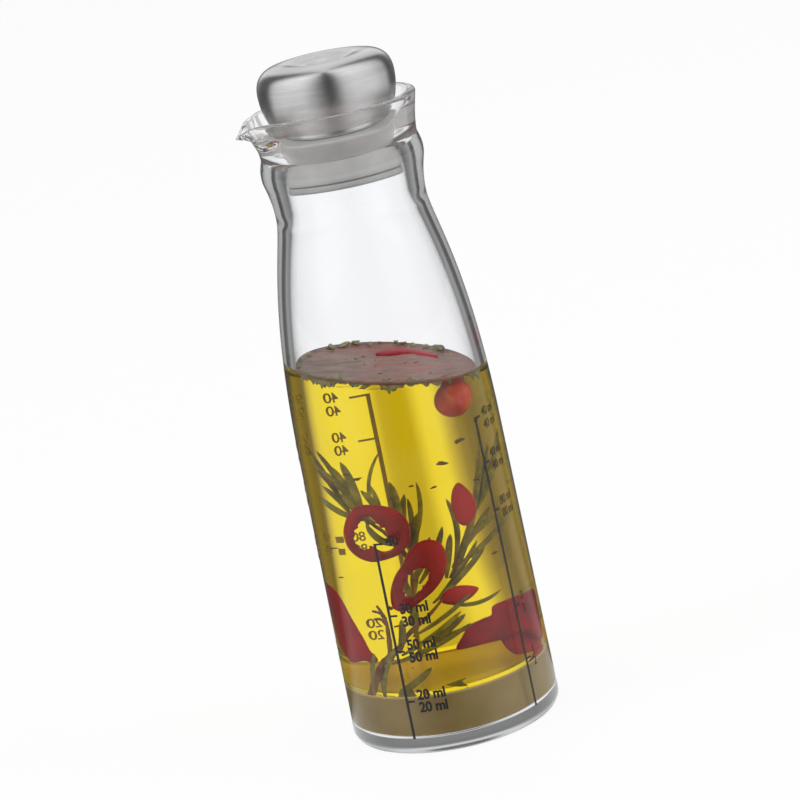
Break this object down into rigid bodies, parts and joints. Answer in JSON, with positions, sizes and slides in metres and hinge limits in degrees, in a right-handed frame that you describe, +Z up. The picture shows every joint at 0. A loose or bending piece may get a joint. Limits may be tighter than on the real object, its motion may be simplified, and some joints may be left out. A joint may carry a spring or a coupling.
{
  "type": "salad dressing shaker bottle",
  "caption": "Slim glass dressing bottle with a flared pouring collar and beak, closed by a steel-capped stopper with silicone seals that lifts out of the neck.",
  "frame": {"origin": "middle of the foot, on the surface the bottle stands on", "axes": "+Z up along the bottle's axis, and the pouring beak points along -X"},
  "size_m": [0.068, 0.068, 0.22],
  "materials": {
    "clear_glass": "clear polished",
    "cap_steel": "brushed round the axis",
    "core_plastic": "satin",
    "gasket_silicone": "frosted satin",
    "seal_silicone": "frosted satin"
  },
  "bodies": {
    "bottle": {"glass_bottle": "clear_glass"},
    "stopper": {"steel_cap": "cap_steel", "stopper_core": "core_plastic", "seat_gasket": "gasket_silicone", "neck_seal": "seal_silicone"}
  },
  "joints": [
    {"name": "stopper_lift", "type": "slide", "parent": "bottle", "child": "stopper", "axis": [0, 0, 1], "range_m": [0, 0.06]}
  ]
}
